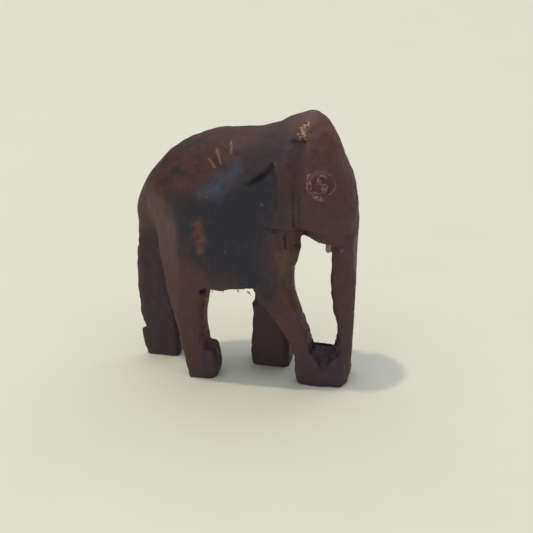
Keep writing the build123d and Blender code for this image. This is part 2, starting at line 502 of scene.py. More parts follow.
@dataclass(frozen=True)
class RawFibre:
    """Torn ends of unstained wood: straw yellow with orange roots, matt and stringy."""

    straw: str = "B79A5E"
    orange: str = "8E4A22"
    strand_mm: float = 0.96          # eight strands of 0.12, so that the streaks show
    relief_mm: float = 0.05
    roughness: float = 0.75

    def material(self) -> Any:
        """Build the node material.

        Returns:
            The material.
        """
        material, tree, shader = new_material("raw_torn_fibre", self.straw)
        coords = add_node(tree, "ShaderNodeTexCoord")
        strand = add_node(tree, "ShaderNodeTexNoise", {"Scale": 1 / (self.strand_mm * MM), "Detail": 3.0},
                          {"Vector": coords.outputs["Object"]})
        sharp = add_node(tree, "ShaderNodeMapRange", {"From Min": 0.4, "From Max": 0.6},
                         {"Value": strand.outputs["Fac"]})
        tone = add_node(tree, "ShaderNodeMix",
                        {"data_type": "RGBA", 6: linear(self.orange), 7: linear(self.straw)},
                        {0: sharp.outputs[0]})
        tree.links.new(tone.outputs[2], shader.inputs["Base Color"])
        shader.inputs["Roughness"].default_value = self.roughness
        bump = add_node(tree, "ShaderNodeBump", {"Strength": 0.5, "Distance": self.relief_mm * MM},
                        {"Height": strand.outputs["Fac"]})
        tree.links.new(bump.outputs[0], shader.inputs["Normal"])
        return material


@dataclass(frozen=True)
class PaleBoard:
    """Matt off-white card that the carving stands on."""

    colour: str = "E3E0D4"
    shade: str = "DEDBCE"
    cloud_mm: float = 33.333           # soft unevenness of the card's coating
    roughness: float = 0.85

    def material(self) -> Any:
        """Build the node material.

        Returns:
            The material.
        """
        material, tree, shader = new_material("pale_board", self.colour)
        coords = add_node(tree, "ShaderNodeTexCoord")
        cloud = add_node(tree, "ShaderNodeTexNoise", {"Scale": 1 / (self.cloud_mm * MM), "Detail": 3.0},
                         {"Vector": coords.outputs["Object"]})
        tone = add_node(tree, "ShaderNodeMix",
                        {"data_type": "RGBA", 6: linear(self.colour), 7: linear(self.shade)},
                        {0: cloud.outputs["Fac"]})
        tree.links.new(tone.outputs[2], shader.inputs["Base Color"])
        shader.inputs["Roughness"].default_value = self.roughness
        return material


# ---- the wood ------------------------------------------------------------------------------


def mirror(row: Row, side: Side) -> Row:
    """A place or direction that is written for the left side, moved to the given side."""
    return (row[0], side.value * row[1], row[2])


@dataclass(frozen=True)
class Span:
    """A soft-edged stretch of the animal: its reach along the length, up the height, and both fades."""

    length: tuple[float, float]
    height: tuple[float, float]
    fade: tuple[float, float]

    def weight(self, points: np.ndarray) -> np.ndarray:
        """Weight of each point, 1 inside the stretch and fading to 0 outside it."""
        along = within(points[:, 0], *self.length, self.fade[0])
        return along * within(points[:, 2], *self.height, self.fade[1])


@dataclass(frozen=True)
class Flat:
    """One long knife cut: a point on its plane, the way it faces and how gently it meets the rest."""

    point: Row
    facing: Row
    soft: float = 0.15

    def mirrored(self, side: Side) -> "Flat":
        """The same flat on the given side."""
        return Flat(mirror(self.point, side), mirror(self.facing, side), self.soft)


@dataclass(frozen=True)
class Cut:
    """One stroke of gouge, saw or point: its path, width, depth and how steep its sides are."""

    path: tuple[tuple[float, ...], ...]
    width: float
    depth: float
    sharp: float = 1.0

    def mirrored(self, side: Side) -> "Cut":
        """The same stroke on the given side."""
        return Cut(tuple(mirror(row, side) for row in self.path), self.width, self.depth, self.sharp)

    def reach(self, points: np.ndarray) -> np.ndarray:
        """How strongly the stroke meets each point, running out at both ends.

        Args:
            points: Positions with as many coordinates as the path has.

        Returns:
            Weight from 0 to 1 for each point.
        """
        gap, along = path_distance(points, self.path)
        near = np.clip(1.0 - gap / (self.width / 2), 0.0, 1.0)
        return near ** self.sharp * within(along, 0.08, 0.92, 0.08)


@dataclass(frozen=True)
class Area:
    """An area of stain, wear, painted light or painted shade on each side: its mark, outline, strength,
    border, raggedness and seed step.
    """

    mark: Mark
    outline: Outline
    strength: float
    fade: float
    ragged: float
    seed: int


class Carving:
    """A dense closed mesh that knife and gouge strokes are worked into, in millimetres."""

    def __init__(self, piece: Any) -> None:
        """Read the mesh of a piece.

        Args:
            piece: Mesh object made only of four-sided faces.
        """
        mesh = piece.data
        self.piece = piece
        flat = np.empty(len(mesh.vertices) * 3, np.float32)
        mesh.vertices.foreach_get("co", flat)
        self.points = flat.reshape(-1, 3).astype(float) / MM
        pairs = np.empty(len(mesh.edges) * 2, np.int32)
        mesh.edges.foreach_get("vertices", pairs)
        self.edges = pairs.reshape(-1, 2)
        corners = np.empty(len(mesh.loops), np.int32)
        mesh.loops.foreach_get("vertex_index", corners)
        self.quads = corners.reshape(-1, 4)
        self.valence = np.bincount(self.edges.ravel(), minlength=len(self.points)).astype(float)
        self.marks: dict[Mark, np.ndarray] = {}

    def normals(self) -> np.ndarray:
        """Work out the surface's direction.

        Returns:
            Unit normal at each vertex.
        """
        a, b, c, d = (self.points[self.quads[:, i]] for i in range(4))
        face = np.cross(c - a, d - b)
        out = np.zeros_like(self.points)
        for axis in range(3):
            for corner in range(4):
                out[:, axis] += np.bincount(self.quads[:, corner], face[:, axis], len(self.points))
        return out / np.maximum(np.linalg.norm(out, axis=1), 1e-12)[:, None]

    def neighbour_mean(self, values: np.ndarray) -> np.ndarray:
        """Average over each vertex's neighbours.

        Args:
            values: A value, or a row of values, for each vertex.

        Returns:
            The means, in the shape of the values.
        """
        rows = values if values.ndim == 2 else values[:, None]
        out = np.empty_like(rows)
        first, second = self.edges[:, 0], self.edges[:, 1]
        for axis in range(rows.shape[1]):
            column = rows[:, axis]
            total = np.bincount(first, column[second], len(rows))
            total = total + np.bincount(second, column[first], len(rows))
            out[:, axis] = total / np.maximum(self.valence, 1)
        return out if values.ndim == 2 else out[:, 0]

    def relax(self, rounds: int) -> None:
        """Round the arrises off without shrinking the form.

        Args:
            rounds: Number of passes, each a pull in and a smaller push out.
        """
        for _ in range(rounds):
            for pull in (0.55, -0.52):
                self.points += pull * (self.neighbour_mean(self.points) - self.points)

    def melt(self, rounds: int, weight: np.ndarray) -> None:
        """Rub a region down until its arrises are gone."""
        for _ in range(rounds):
            self.points += 0.5 * weight[:, None] * (self.neighbour_mean(self.points) - self.points)

    def zone(self, side: Side, outline: Outline, fade: float, ragged: float = 0.0,
             seed: int = 1) -> np.ndarray:
        """Weight inside an outline that is drawn on one side of the animal, seen square on.

        Args:
            side: The side that carries it.
            outline: Corners as length and height.
            fade: Width of the soft border.
            ragged: How far the border wanders.
            seed: Number that picks the wandering.

        Returns:
            Weight from 0 to 1 for each vertex.
        """
        p = self.points
        gap = inside_outline(p[:, 0], p[:, 2], outline)
        if ragged > 0:
            gap = gap + ragged * wave_noise(p, 3.2, seed) + 0.5 * ragged * wave_noise(p, 1.3, seed + 1)
        return np.clip(gap / fade + 0.5, 0.0, 1.0) * (p[:, 1] * side.value > 0.4)

    def area(self, side: Side, area: Area, seed: int) -> np.ndarray:
        """Weight of an area of finish on one side, its border picked by the side's seed."""
        return area.strength * self.zone(side, area.outline, area.fade, area.ragged, seed + area.seed)

    def sink(self, depth: np.ndarray) -> None:
        """Move the surface in along its normals by a depth in millimetres for each vertex."""
        self.points -= self.normals() * depth[:, None]

    def shave(self, flat: Flat, weight: np.ndarray) -> None:
        """Cut the surface back to a plane, as one long knife stroke does.

        Args:
            flat: The plane of the cut.
            weight: Where the stroke reaches, from 0 to 1 for each vertex.
        """
        unit = np.asarray(flat.facing, float) / np.linalg.norm(flat.facing)
        over = (self.points - np.asarray(flat.point, float)) @ unit
        cut = 0.5 * (over + np.sqrt(over * over + flat.soft * flat.soft)) - 0.5 * flat.soft
        cut = np.maximum(cut, 0.0) * weight
        self.points -= cut[:, None] * unit

    def groove(self, cut: Cut) -> np.ndarray:
        """Press a stroke whose path is given as places on the wood.

        Args:
            cut: The stroke.

        Returns:
            How strongly each vertex was hit, from 0 to 1.
        """
        hit = cut.reach(self.points)
        self.sink(cut.depth * hit)
        return hit

    def score(self, side: Side, cut: Cut) -> np.ndarray:
        """Press a stroke that is drawn on one side, seen square on.

        Args:
            side: The side that carries it.
            cut: The stroke, its path as length and height.

        Returns:
            How strongly each vertex was hit, from 0 to 1.
        """
        hit = cut.reach(self.points[:, [0, 2]])
        hit = hit * (self.points[:, 1] * side.value > 2.0) * (self.normals()[:, 1] * side.value > 0.2)
        self.sink(cut.depth * hit)
        return hit

    def scatter(self, spacing: float, scale: np.ndarray, draw: np.random.Generator) -> list[int]:
        """Pick vertices that stand at least a spacing apart.

        Args:
            spacing: Smallest distance between two.
            scale: What each coordinate is multiplied by before it is measured.
            draw: Source of random numbers.

        Returns:
            The vertices' numbers.
        """
        tries = 6000
        around = (-1, 0, 1)
        picked: list[int] = []
        cells: dict[tuple[int, int, int], list[int]] = {}
        for index in draw.permutation(len(self.points))[:tries]:
            spot = self.points[index] * scale
            x, y, z = np.floor(spot / spacing).astype(int)
            near = [
                other for dx in around for dy in around for dz in around
                for other in cells.get((x + dx, y + dy, z + dz), [])
            ]
            if all(np.linalg.norm(self.points[other] * scale - spot) > spacing for other in near):
                picked.append(int(index))
                cells.setdefault((x, y, z), []).append(int(index))
        return picked

    def facet(self, spacing: float, depth: float, seed: int, stretch: float, weight: np.ndarray) -> None:
        """Turn a rounded surface into small flat knife cuts with soft arrises between.

        Args:
            spacing: Distance between the middles of two cuts.
            depth: Most wood that a cut takes off.
            seed: Number that picks the cuts.
            stretch: How much longer the cuts are up and down than across.
            weight: Where and how strongly it works.
        """
        draw = np.random.default_rng(seed)
        normals = self.normals()
        smooth = normals.copy()
        for _ in range(4):
            smooth = self.neighbour_mean(smooth)
        smooth /= np.maximum(np.linalg.norm(smooth, axis=1), 1e-9)[:, None]
        scale = np.array([1.0, 1.0, 1.0 / stretch])
        picked = self.scatter(spacing, scale, draw)
        tree = KDTree(len(picked))
        for number, index in enumerate(picked):
            tree.insert(Vector(self.points[index] * scale), number)
        tree.balance()
        offsets = np.zeros(len(self.points))
        lift = draw.uniform(0.0, 0.35, len(picked)) * depth
        edge_on = 0.55                   # cuts that face further away than this don't reach a vertex
        for i in np.nonzero(weight > 0.01)[0]:
            reaches = []
            for _, number, _ in tree.find_n(Vector(self.points[i] * scale), 4):
                middle = picked[number]
                slope = float(normals[i] @ smooth[middle])
                if slope >= edge_on:
                    away = float((self.points[middle] - self.points[i]) @ smooth[middle])
                    reaches.append(away / slope - lift[number])
            if reaches:
                offsets[i] = np.clip(min(reaches), -depth, 0.4 * depth)
        self.points += normals * (offsets * weight)[:, None]

    def mark(self, mark: Mark, values: np.ndarray) -> None:
        """Keep a weight for the finish and the painted light and shade, as the stronger of this and what is
        there.
        """
        held = self.marks.get(mark, np.zeros(len(self.points)))
        self.marks[mark] = np.maximum(held, np.clip(values, 0.0, 1.0))

    def finish(self, low: Vector, high: Vector) -> None:
        """Write the points and the marks back to the mesh.

        Args:
            low: Lowest corner of the box that the points are kept in, in metres.
            high: Its highest corner.
        """
        inside = np.clip(self.points * MM, np.array(low), np.array(high))
        mesh = self.piece.data
        mesh.vertices.foreach_set("co", inside.astype(np.float32).ravel())
        for mark, values in self.marks.items():
            layer = mesh.attributes.new(mark.value, "FLOAT", "POINT")
            layer.data.foreach_set("value", values.astype(np.float32))
        mesh.update()


@dataclass
class CarvedBody:
    """The one block of wood: body, head, ears, trunk and legs.

    Sizes are millimetres.  Outlines are length and height, seen square on from either side.
    Cuts and flats that both sides carry are written for the left side.
    """

    voxel: float = 0.36
    plugs: tuple[str, ...] = ("right_eye_ring", "right_eye_bead", "left_eye_ring", "left_eye_bead",
                              "right_tusk_stub")
    facet_width: float = 4.2
    facet_depth: float = 0.16
    facet_stretch: float = 1.9       # how much longer a knife cut is up and down than across
    flank_y: float = 11.7            # half width where the flank is flat
    panel_depth: float = 1.6         # how far the flank is cut in behind the ear
    panel_run: tuple[float, float] = (-5.0, 8.5)
    panel_rise: tuple[float, float] = (41.0, 58.0)
    ear_undercut: float = 0.75       # how far the chest is cut in below the ear
    crown_drop: float = 0.5
    foot_reach: float = 0.3          # how far the trunk's tip is cut back behind
    rump_crest: Span = Span((-30.0, -15.5), (50.0, 60.0), (2.5, 3.0))
    rump_end: Span = Span((-40.0, -22.0), (38.0, 55.0), (2.0, 3.0))
    thigh_top: Span = Span((-40.0, -15.0), (44.0, 57.0), (2.5, 3.0))
    thigh_back: Span = Span((-40.0, -21.0), (40.0, 57.0), (2.5, 3.0))
    ear_hem: Span = Span((7.2, 16.2), (41.5, 46.7), (0.5, 0.35))
    chest: Span = Span((9.0, 16.0), (25.0, 34.0), (1.5, 2.0))
    chest_swell: Span = Span((12.2, 17.0), (35.5, 38.8), (1.2, 2.6))
    leg_front: Span = Span((8.0, 16.5), (26.0, 43.0), (1.0, 4.0))
    soffit: Span = Span((-0.5, 4.6), (26.0, 29.6), (3.2, 0.8))
    far_leg_nick: Span = Span((0.0, 5.0), (18.6, 29.0), (0.6, 0.8))
    foot_front: Span = Span((17.0, 23.0), (9.5, 17.0), (0.5, 0.8))
    trunk_rear: Span = Span((24.3, 28.0), (8.0, 12.8), (0.6, 0.8))
    sill: Span = Span((19.0, 26.6), (7.5, 14.0), (0.4, 1.0))
    foot_floor: Span = Span((18.5, 26.5), (7.5, 15.0), (1.5, 1.5))
    thigh_flats: tuple[tuple[Flat, float], ...] = (   # each flat, and the length that it stays behind
        (Flat((-13.2, 11.65, 36.0), (-0.22, 0.975, -0.02), 0.3), -8.0),
        (Flat((-17.0, 11.5, 36.0), (-0.50, 0.86, -0.069), 0.2), -10.0),
        (Flat((-14.8, 10.9, 24.0), (-0.50, 0.86, -0.02), 0.2), -10.0),
    )
    shoulder_flat: Flat = Flat((-5.0, 11.7, 54.8), (-0.06, 0.93, 0.36), 0.6)
    leg_flat: Flat = Flat((12.9, 10.2, 37.0), (0.66, 0.74, 0.10), 0.2)
    trunk_flat: Flat = Flat((30.55, -3.2, 25.0), (0.985, 0.17, -0.03), 0.1)
    foot_flat: Flat = Flat((19.0, -5.0, 12.5), (0.993, 0.0, 0.12))
    ear_folds: tuple[Cut, ...] = (
        Cut(((15.3, 57.2), (15.4, 46.6)), 0.8, 0.16),
        Cut(((16.8, 55.6), (16.6, 46.4)), 0.7, 0.13),
        Cut(((8.0, 46.4), (12.0, 46.2), (16.2, 46.0)), 1.0, 0.22),
    )
    throat_slots: tuple[Cut, ...] = (
        Cut(((13.7, 10.2, 44.6), (13.5, 9.1, 40.3)), 1.1, 0.9),
        Cut(((14.5, 7.8, 40.8), (16.1, 4.6, 39.6)), 0.8, 0.8),
        Cut(((8.4, 11.5, 45.8), (14.0, 10.0, 45.2)), 0.7, 0.2),
    )
    crown_chip: tuple[Row, ...] = ((17.3, -4.9, 72.8), (17.0, -6.0, 71.6), (16.6, -7.2, 70.2))
    crown_chip_radius: float = 0.62
    crown_notch: Cut = Cut(((14.0, -7.7, 69.3), (16.4, -7.8, 69.1), (18.2, -7.2, 69.3)), 1.8, 0.35, 0.8)
    eye_grime: tuple[float, float, float] = (22.3, -9.45, 58.6)
    eye_grime_radius: float = 1.9
    kerfs: tuple[Cut, ...] = (
        Cut(((-9.3, 26.4), (-7.0, 26.9), (-3.6, 27.2)), 1.6, 1.3, 0.8),
        Cut(((3.2, 28.6), (4.6, 27.6), (5.6, 26.2)), 1.2, 0.6, 0.8),
    )
    trunk_nicks: tuple[Cut, ...] = (
        Cut(((30.3, -4.0, 21.0), (30.3, 1.5, 21.3)), 0.9, 0.35),
        Cut(((30.3, -4.0, 15.6), (30.3, 1.5, 15.9)), 0.9, 0.35),
    )
    scratches: tuple[Cut, ...] = (
        Cut(((-6.8, 63.4), (-5.9, 62.5), (-4.8, 61.2)), 0.55, 0.12, 0.8),
        Cut(((-5.1, 65.6), (-4.3, 64.2), (-3.2, 62.2)), 0.65, 0.12, 0.8),
        Cut(((-1.8, 67.2), (-1.4, 66.3), (-0.9, 64.7)), 0.55, 0.12, 0.8),
    )
    scratch_show: float = 0.45
    bare_dots: tuple[tuple[float, float, float, float], ...] = (   # length, height, radius, strength
        (-2.1, 39.3, 0.35, 0.12), (7.3, 52.7, 0.4, 0.20), (10.6, 63.9, 0.5, 0.08),
        (20.2, 9.1, 0.5, 0.06), (-6.7, 54.1, 0.35, 0.12),
    )
    foot_recess: Outline = ((19.6, 14.0), (26.6, 13.6), (25.2, 3.6), (22.4, 3.6))
    foot_rough: Outline = ((19.8, 14.0), (26.4, 13.6), (24.4, 7.0), (23.0, 7.0))
    crease: Outline = ((3.4, 58.1), (9.9, 63.6), (10.1, 61.5), (7.7, 59.4), (4.3, 57.6))
    temple: Outline = ((13.9, 68.8), (17.9, 68.8), (18.4, 55.0), (14.8, 53.0))
    behind_ear: Outline = (
        (-6.0, 53.6), (3.4, 58.7), (10.0, 63.6), (11.0, 60.0), (11.2, 53.5), (11.0, 49.8), (10.0, 47.2),
        (6.0, 40.0), (-4.0, 44.0),
    )
    stained_flank: Outline = (
        (-16.6, 52.4), (-10.0, 53.8), (-0.1, 57.6), (9.9, 63.2), (12.2, 57.0), (12.2, 49.0), (8.4, 46.5),
        (8.4, 42.5), (9.2, 36.0), (10.2, 30.0), (10.2, 23.0), (4.3, 29.0), (-4.4, 31.0), (-12.6, 38.0),
    )
    worn_back: Outline = (
        (-21.5, 50.5), (-27.0, 58.0), (-14.0, 77.0), (10.0, 82.0), (11.0, 73.0), (0.6, 65.5), (0.6, 61.8),
        (-9.0, 56.6), (-13.8, 53.6),
    )
    worn_patch: Outline = (
        (-9.9, 47.0), (-8.9, 47.4), (-7.6, 43.0), (-8.2, 38.9), (-9.0, 38.4), (-9.8, 42.2),
    )
    # Outline of the painted reflection on the shoulder.
    sheen_band: Outline = (
        (-8.6, 53.9), (-7.6, 56.2), (-4.0, 59.4), (0.8, 63.2), (1.6, 61.8), (-0.9, 57.6), (-4.2, 54.2),
    )
    neck_shade: Outline = (
        (12.4, 69.8), (6.6, 67.4), (3.1, 65.0), (1.6, 62.3), (3.4, 59.2), (9.5, 63.8), (14.4, 69.0),
    )
    chest_facet: Outline = (
        (13.6, 41.5), (11.1, 39.3), (11.4, 35.0), (12.2, 29.8), (15.4, 28.5), (16.2, 36.5), (15.0, 39.5),
    )
    rump_edge: Outline = ((-17.2, 53.6), (-9.6, 52.2), (-10.2, 49.4), (-15.8, 49.0))
    patch_wear: Area = Area(Mark.PATCH, worn_patch, 1.0, 2.2, 0.25, 2)
    dark_areas: tuple[Area, ...] = (                  # rubbed away where the patch is worn through
        Area(Mark.EBONY_AND_SHADE, stained_flank, 1.0, 6.5, 0.5, 0),
        Area(Mark.EBONY_AND_SHADE, behind_ear, 0.8, 1.6, 0.3, 16),
    )
    other_areas: tuple[Area, ...] = (
        Area(Mark.RUSSET, worn_back, 1.0, 8.0, 0.7, 4),
        # Painted reflection on the shoulder.
        Area(Mark.BLOOM, sheen_band, 0.9, 3.2, 0.35, 6),
        # Painted shade on the neck.
        Area(Mark.PAINTED_SHADE, neck_shade, 1.0, 6.0, 0.5, 8),
        Area(Mark.EBONY_AND_SHADE, neck_shade, 0.6, 6.0, 0.5, 8),
        # Painted shade in the temple.
        Area(Mark.EBONY_AND_SHADE, temple, 0.30, 1.0, 0.2, 14),
        # Painted light on the chest facet.
        Area(Mark.RUBBED_AND_PAINTED_LIGHT, chest_facet, 1.0, 0.6, 0.15, 10),
        Area(Mark.POLISH, chest_facet, 0.8, 0.6, 0.15, 10),
        # The rump's top edge darker.
        Area(Mark.PAINTED_SHADE, rump_edge, 0.8, 4.0, 0.5, 12),
        Area(Mark.EBONY_AND_SHADE, rump_edge, 0.5, 4.0, 0.5, 12),
    )

    def blank(self) -> Any:
        """Dense closed copy of the CAD block with its sockets filled.

        Returns:
            The new mesh object.
        """
        joined = bmesh.new()
        for name in ("carved_body",) + self.plugs:
            joined.from_mesh(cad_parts[name].data)
        bmesh.ops.remove_doubles(joined, verts=joined.verts, dist=0.002 * MM)
        mesh = bpy.data.meshes.new("carved_body_wood")
        joined.to_mesh(mesh)
        joined.free()
        piece = bpy.data.objects.new("carved_body_wood", mesh)
        bpy.context.scene.collection.objects.link(piece)
        remesh = piece.modifiers.new("dense", "REMESH")
        remesh.mode = "VOXEL"
        remesh.voxel_size = self.voxel * MM
        graph = bpy.context.evaluated_depsgraph_get()
        dense = bpy.data.meshes.new_from_object(piece.evaluated_get(graph))
        piece.modifiers.clear()
        self.keep_outer_shell(dense)
        piece.data = dense
        dense.polygons.foreach_set("use_smooth", [True] * len(dense.polygons))
        return piece

    @staticmethod
    def keep_outer_shell(mesh: Any) -> None:
        """Drop the small shells that the plugs leave inside the wood.

        Args:
            mesh: The dense mesh, changed in place.
        """
        work = bmesh.new()
        work.from_mesh(mesh)
        seen: set[Any] = set()
        shells: list[list[Any]] = []
        for first in work.verts:
            if first in seen:
                continue
            seen.add(first)
            shell = []
            queue = [first]
            while queue:
                vert = queue.pop()
                shell.append(vert)
                for edge in vert.link_edges:
                    other = edge.other_vert(vert)
                    if other not in seen:
                        seen.add(other)
                        queue.append(other)
            shells.append(shell)
        shells.sort(key=len)
        LOG.info("shells in the blank: %s", [len(shell) for shell in shells])
        for shell in shells[:-1]:
            bmesh.ops.delete(work, geom=shell, context="VERTS")
        work.to_mesh(mesh)
        work.free()

    def round_rump(self, wood: Carving) -> None:
        """Rub the rump round."""
        wood.melt(50, self.rump_crest.weight(wood.points))
        wood.melt(130, self.rump_end.weight(wood.points))

    def cut_shoulders(self, wood: Carving) -> None:
        """Plane the long slope between back and flank.

        Args:
            wood: The block being cut.
        """
        p = wood.points
        for side in Side:
            slope = within(p[:, 0], -14.0, 3.0, 3.0) * (p[:, 1] * side.value > 4)
            slope = slope * (1 - smooth_step(57.0, 64.0, p[:, 2]))
            wood.shave(self.shoulder_flat.mirrored(side), slope)

    def cut_facets(self, wood: Carving) -> None:
        """Work over the whole block with short knife cuts and rub the nape smooth.

        Args:
            wood: The block being cut.
        """
        p = wood.points
        wood.facet(self.facet_width, self.facet_depth, 11, self.facet_stretch, np.ones(len(p)))
        wood.sink(0.07 * wave_noise(p, 7.0, 12) + 0.05 * wave_noise(p, 2.6, 13))
        wood.relax(3)
        wood.melt(40, within(p[:, 0], 3.0, 15.0, 2.0) * smooth_step(62.0, 66.0, p[:, 2]))

    def cut_thighs(self, wood: Carving) -> None:
        """Cut the long facets down the backs of the hind legs.

        Args:
            wood: The block being cut.
        """
        p = wood.points
        for side in Side:
            tall = within(p[:, 2], 3.0, 50.0, 4.0) * (p[:, 1] * side.value > 1.5)
            for flat, behind in self.thigh_flats:
                wood.shave(flat.mirrored(side), tall * (p[:, 0] < behind))
        wood.melt(35, self.thigh_top.weight(p))
        wood.melt(50, self.thigh_back.weight(p))

    def cut_flank(self, wood: Carving) -> None:
        """Cut the flank in behind the ear, so that the back stands over it, and paint the crease below it
        dark as shade.

        Args:
            wood: The block being cut.
        """
        p = wood.points
        for side in Side:
            deep = smooth_step(*self.panel_run, p[:, 0]) * smooth_step(*self.panel_rise, p[:, 2])
            reach = wood.zone(side, self.behind_ear, 1.4) * (abs(p[:, 1]) > 7.0)
            target = self.flank_y + 0.05 - self.panel_depth * deep
            p[:, 1] -= side.value * np.maximum(np.abs(p[:, 1]) - target, 0.0) * reach
            crease = wood.zone(side, self.crease, 0.9, 0.2, 21) * (p[:, 1] * side.value > 6)
            # The crease's shadow is painted in with grime-and-shade and black.
            wood.sink(0.3 * crease)
            wood.mark(Mark.GRIME_AND_SHADE, 0.7 * crease)
            wood.mark(Mark.EBONY_AND_SHADE, crease)

    def cut_ears(self, wood: Carving) -> None:
        """Free the ear's lower edge, flatten the temple and cut the two folds of the ear.

        Args:
            wood: The block being cut.
        """
        p = wood.points
        for side in Side:
            below = self.ear_hem.weight(p) * (p[:, 1] * side.value > 8.0)
            over = np.maximum(np.abs(p[:, 1]) - (self.flank_y - self.ear_undercut), 0.0)
            p[:, 1] -= side.value * over * below
            wood.sink(0.35 * wood.zone(side, self.temple, 1.1, 0.22, 65))
            for fold in self.ear_folds:
                # Grime and painted shade in the ear's folds.
                wood.mark(Mark.GRIME_AND_SHADE, 0.5 * wood.score(side, fold))

    def cut_throat(self, wood: Carving) -> None:
        """Cut the chisel slots between ear, chest and fore leg.

        Args:
            wood: The block being cut.
        """
        p = wood.points
        for side in Side:
            for slot in self.throat_slots:
                # Grime and painted shade in the slots.
                wood.mark(Mark.GRIME_AND_SHADE, wood.groove(slot.mirrored(side)))
            out = p[:, 1] * side.value
            wood.melt(90, self.chest.weight(p) * (out > 3))
            out = p[:, 1] * side.value
            swell = self.chest_swell.weight(p) * within(out, 1.0, 8.5, 2.0) * (wood.normals()[:, 0] > 0.1)
            p[:, 0] += 0.85 * swell
            wood.shave(self.leg_flat.mirrored(side), self.leg_front.weight(p) * (out > 4))

    def cut_crown(self, wood: Carving) -> None:
        """Break the edge of the crown down to raw wood and press the notch under it, its shade painted dark.

        Args:
            wood: The block being cut.
        """
        p = wood.points
        p[:, 2] -= self.crown_drop * smooth_step(69.0, 74.5, p[:, 2])
        gap, _ = path_distance(p, self.crown_chip)
        ragged = wave_noise(p, 1.1, 31) * 0.4
        chip = smooth_step(-0.35, 0.35, self.crown_chip_radius - gap + ragged)
        wood.sink(chip * (0.28 + 0.22 * wave_noise(p, 0.9, 32)))
        wood.mark(Mark.BARE, chip * smooth_step(-0.7, 0.4, wave_noise(p, 1.0, 33)))
        # Grime and painted shade in the notch.
        wood.mark(Mark.GRIME_AND_SHADE, wood.groove(self.crown_notch))
        near = p[:, 1] < 0
        from_eye = np.linalg.norm((p - np.array(self.eye_grime)) * near[:, None], axis=1)
        grime = np.clip(1.0 - np.abs(from_eye - self.eye_grime_radius) / 1.6, 0, 1)
        wood.mark(Mark.PAINTED_SHADE, 0.35 * grime * near * (p[:, 0] > 15))

    def cut_arch(self, wood: Carving) -> None:
        """Saw kerf and torn bites round the openings.

        Args:
            wood: The block being cut.
        """
        for side in Side:
            for kerf in self.kerfs:
                # Grime and painted shade in the kerfs.
                wood.mark(Mark.GRIME_AND_SHADE, wood.score(side, kerf))
        p = wood.points
        facing = wood.normals()
        p[:, 2] += 0.9 * self.soffit.weight(p) * (facing[:, 2] < 0.15) * (p[:, 1] < -6)
        p[:, 0] += 1.3 * self.far_leg_nick.weight(p) * (facing[:, 0] < -0.3) * (p[:, 1] > -2)
        wood.shave(self.trunk_flat, within(p[:, 2], 4.0, 46.0, 3.0) * (p[:, 0] > 27.5))
        for nick in self.trunk_nicks:
            wood.groove(nick)

    def cut_foot(self, wood: Carving) -> None:
        """Roughen the recess between fore foot and trunk tip, paint shade into it and darken the fore foot
        low down.

        Args:
            wood: The block being cut.
        """
        p = wood.points
        facing = wood.normals()
        wood.shave(self.foot_flat, self.foot_front.weight(p) * smooth_step(0.1, 0.3, facing[:, 0]))
        p[:, 0] += self.foot_reach * self.trunk_rear.weight(p) * (facing[:, 0] < -0.3)
        lowered = self.sill.weight(p) * (facing[:, 2] > 0.3)
        p[:, 2] -= lowered * (0.6 + 0.35 * smooth_step(-5.0, -1.0, p[:, 1]))
        wood.melt(25, 0.8 * wood.zone(Side.RIGHT, self.foot_recess, 1.2, 0.2, 41))
        rough = wood.zone(Side.RIGHT, self.foot_rough, 1.4, 0.3, 43)
        wood.sink(rough * (0.16 * wave_noise(p, 1.1, 42) + 0.10))
        # Painted shade in the recess.
        wood.mark(Mark.PAINTED_SHADE, 0.7 * rough)
        floor = self.foot_floor.weight(p) * (wood.normals()[:, 2] > 0.25)
        wood.sink(0.12 * floor * wave_noise(p, 0.8, 44))
        wood.mark(Mark.GRIME_AND_SHADE, 0.15 * floor)
        # The fore foot darker low down.
        wood.mark(Mark.PAINTED_SHADE, within(p[:, 0], 18.0, 27.0, 2.5) * (1 - smooth_step(8.0, 15.0, p[:, 2])))

    def scratch(self, wood: Carving) -> None:
        """Scrape three short bare marks across the back's slope and rub the small bare dots.

        Args:
            wood: The block being cut.
        """
        p = wood.points
        for line in self.scratches:
            wood.mark(Mark.BARE, self.scratch_show * wood.score(Side.RIGHT, line))
        for length, height, radius, strength in self.bare_dots:
            gap = np.hypot(p[:, 0] - length, p[:, 2] - height)
            dot = 1 - smooth_step(radius * 0.5, radius * 1.4, gap)
            wood.mark(Mark.BARE, strength * dot * (p[:, 1] < -5))

    def stain(self, wood: Carving) -> None:
        """Lay down where the stain is thick and where it is worn, and paint the shoulder's reflection, the
        neck's and temple's shade and the chest facet's light.

        Args:
            wood: The block being finished.
        """
        for side, seed in ((Side.RIGHT, 51), (Side.LEFT, 71)):
            patch = wood.area(side, self.patch_wear, seed)
            wood.mark(Mark.PATCH, patch)
            for area in self.dark_areas:
                wood.mark(area.mark, wood.area(side, area, seed) * (1 - patch))
            for area in self.other_areas:
                wood.mark(area.mark, wood.area(side, area, seed))

    def paint_light_and_shade(self, wood: Carving) -> None:
        """Paint light and shade into the wood by how its faces stand: rear, far and upward faces darker, the
        thigh's rear facet, the shin fronts and the head lighter.

        Args:
            wood: The block being finished.
        """
        p = wood.points
        facing = wood.normals()
        for _ in range(6):
            facing = wood.neighbour_mean(facing)
        # Painted shade on the rear faces of the rump and hind legs.
        rear = smooth_step(0.45, 0.85, -facing[:, 0]) * (p[:, 0] < -14)
        rear = rear * (1 - smooth_step(48.0, 58.0, p[:, 2]))
